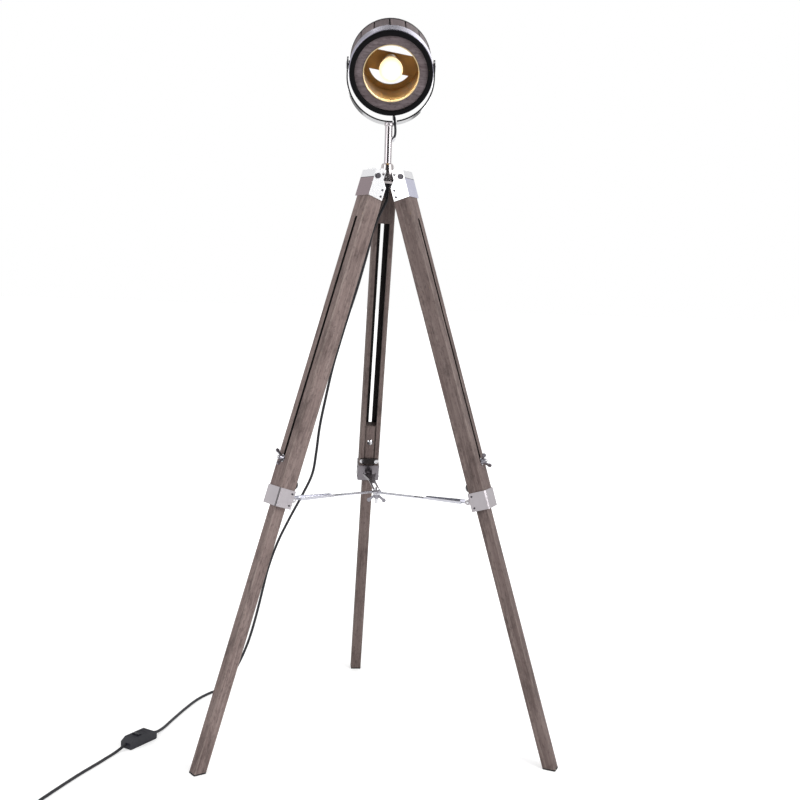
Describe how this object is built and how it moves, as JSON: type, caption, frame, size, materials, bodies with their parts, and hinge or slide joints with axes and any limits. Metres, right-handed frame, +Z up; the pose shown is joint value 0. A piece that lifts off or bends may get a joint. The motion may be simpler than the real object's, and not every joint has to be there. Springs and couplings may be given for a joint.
{
  "type": "tripod spotlight floor lamp",
  "caption": "Floor lamp with a barrel spotlight of wooden staves in a metal yoke, on a swivel stem over a folding wooden tripod with sliding lower legs.",
  "frame": {"origin": "on the floor, at the middle of the tripod's box, without the mains cord", "axes": "+Z up, -Y towards the side the lamp faces at rest, +X to its left as it looks out"},
  "size_m": [1.0179, 0.8651, 1.5154],
  "materials": {
    "weathered_wood": "weathered grey oak, matt",
    "dark_wood": "dark stained",
    "chrome": "polished",
    "black_paint": "satin black",
    "brass": "satin brass-coloured lacquer",
    "ceramic": "glazed",
    "bulb_glass": "opal",
    "black_plastic": "satin",
    "black_cord": "satin",
    "pad_rubber": "matt"
  },
  "bodies": {
    "root": {"hub": "chrome", "hinge_bolts": "chrome", "stem_collar": "chrome", "cord_gland": "black_plastic", "cord_hang": "black_cord", "switch_case": "black_plastic", "cord_tail": "black_cord", "cord_coil": "black_cord", "plug": "black_plastic"},
    "rocker": {"switch_rocker": "black_plastic"},
    "stem": {"stem_tube": "chrome", "yoke": "chrome", "yoke_screw": "chrome", "lead_bush": "chrome", "pivot_screws": "chrome", "lamp_lead": "black_cord"},
    "lamp_head": {"barrel_shell": "black_paint", "staves_ring": "weathered_wood", "chrome_band": "chrome", "front_rim": "black_paint", "face_ring": "weathered_wood", "rear_cover": "black_paint", "reflector_liner": "brass", "socket_bar": "brass", "lamp_socket": "ceramic", "bulb": "bulb_glass", "head_gland": "black_plastic"},
    "leg_rear": {"upper_leg_rear": "weathered_wood", "leg_bracket_rear": "chrome", "leg_clamp_rear": "chrome", "leg_strap_rear": "dark_wood", "leg_screws_rear": "chrome"},
    "lower_rear": {"lower_leg_rear": "weathered_wood", "slide_bolt_rear": "chrome", "foot_pad_rear": "pad_rubber"},
    "nut_rear": {"wing_nut_rear": "chrome"},
    "arm_rear": {"spreader_arm_rear": "chrome"},
    "leg_left": {"upper_leg_left": "weathered_wood", "leg_bracket_left": "chrome", "leg_clamp_left": "chrome", "leg_strap_left": "dark_wood", "leg_screws_left": "chrome"},
    "lower_left": {"lower_leg_left": "weathered_wood", "slide_bolt_left": "chrome", "foot_pad_left": "pad_rubber"},
    "nut_left": {"wing_nut_left": "chrome"},
    "arm_left": {"spreader_arm_left": "chrome"},
    "leg_right": {"upper_leg_right": "weathered_wood", "leg_bracket_right": "chrome", "leg_clamp_right": "chrome", "leg_strap_right": "dark_wood", "leg_screws_right": "chrome"},
    "lower_right": {"lower_leg_right": "weathered_wood", "slide_bolt_right": "chrome", "foot_pad_right": "pad_rubber"},
    "nut_right": {"wing_nut_right": "chrome"},
    "arm_right": {"spreader_arm_right": "chrome"},
    "spreader_bolt": {"centre_bolt": "chrome"},
    "spreader_nut": {"centre_wing_nut": "chrome"}
  },
  "joints": [
    {"name": "fold_rear", "type": "hinge", "parent": "root", "child": "leg_rear", "pos_m": [0, -0.07332, 1.19], "axis": [-1, 0, 0], "range_deg": [0, 7]},
    {"name": "arm_turn_rear", "type": "hinge", "parent": "leg_rear", "child": "arm_rear", "pos_m": [0, 0.10898, 0.52799], "axis": [-1, 0, 0], "range_deg": [-7, 0]},
    {"name": "leg_slide_rear", "type": "slide", "parent": "leg_rear", "child": "lower_rear", "axis": [0, -0.3074, 0.9516], "range_m": [0, 0.45]},
    {"name": "nut_turn_rear", "type": "hinge", "parent": "lower_rear", "child": "nut_rear", "pos_m": [0, 0.13921, 0.61657], "axis": [0, 0.9516, 0.3074], "continuous": true},
    {"name": "fold_left", "type": "hinge", "parent": "root", "child": "leg_left", "pos_m": [-0.02338, -0.11382, 1.19], "axis": [0.5, -0.866, 0], "range_deg": [0, 7]},
    {"name": "arm_turn_left", "type": "hinge", "parent": "leg_left", "child": "arm_left", "pos_m": [-0.18126, -0.20497, 0.52799], "axis": [0.5, -0.866, 0], "range_deg": [-7, 0]},
    {"name": "leg_slide_left", "type": "slide", "parent": "leg_left", "child": "lower_left", "axis": [0.2662, 0.1537, 0.9516], "range_m": [0, 0.45]},
    {"name": "nut_turn_left", "type": "hinge", "parent": "lower_left", "child": "nut_left", "pos_m": [-0.20744, -0.22009, 0.61657], "axis": [-0.8241, -0.4758, 0.3074], "continuous": true},
    {"name": "fold_right", "type": "hinge", "parent": "root", "child": "leg_right", "pos_m": [0.02338, -0.11382, 1.19], "axis": [0.5, 0.866, 0], "range_deg": [0, 7]},
    {"name": "arm_turn_right", "type": "hinge", "parent": "leg_right", "child": "arm_right", "pos_m": [0.18126, -0.20497, 0.52799], "axis": [0.5, 0.866, 0], "range_deg": [-7, 0]},
    {"name": "leg_slide_right", "type": "slide", "parent": "leg_right", "child": "lower_right", "axis": [-0.2662, 0.1537, 0.9516], "range_m": [0, 0.45]},
    {"name": "nut_turn_right", "type": "hinge", "parent": "lower_right", "child": "nut_right", "pos_m": [0.20744, -0.22009, 0.61657], "axis": [0.8241, -0.4758, 0.3074], "continuous": true},
    {"name": "spreader_drop", "type": "slide", "parent": "root", "child": "spreader_bolt", "axis": [0, 0, 1], "range_m": [-0.01778, 0]},
    {"name": "spreader_nut_turn", "type": "hinge", "parent": "spreader_bolt", "child": "spreader_nut", "pos_m": [0, -0.10032, 0.51799], "axis": [0, 0, 1], "continuous": true},
    {"name": "head_pan", "type": "hinge", "parent": "root", "child": "stem", "pos_m": [0, -0.10032, 1.2], "axis": [0, 0, 1], "range_deg": [-160, 160]},
    {"name": "head_tilt", "type": "hinge", "parent": "stem", "child": "lamp_head", "pos_m": [0, -0.10032, 1.411], "axis": [0.9969, -0.0785, 0], "range_deg": [-50, 12], "deforming": ["lamp_lead"]},
    {"name": "switch_rock", "type": "hinge", "parent": "root", "child": "rocker", "pos_m": [-0.484, -0.15532, 0.017], "axis": [-0.7923, 0.6101, 0], "range_deg": [-16, 0]}
  ],
  "couplings": [
    {"joint": "arm_turn_rear", "follows": "fold_rear", "ratio": -1},
    {"joint": "arm_turn_left", "follows": "fold_rear", "ratio": -1},
    {"joint": "arm_turn_right", "follows": "fold_rear", "ratio": -1},
    {"joint": "fold_left", "follows": "fold_rear", "ratio": 1},
    {"joint": "fold_right", "follows": "fold_rear", "ratio": 1},
    {"joint": "spreader_drop", "follows": "fold_rear", "m_per_rad": -0.14146}
  ]
}
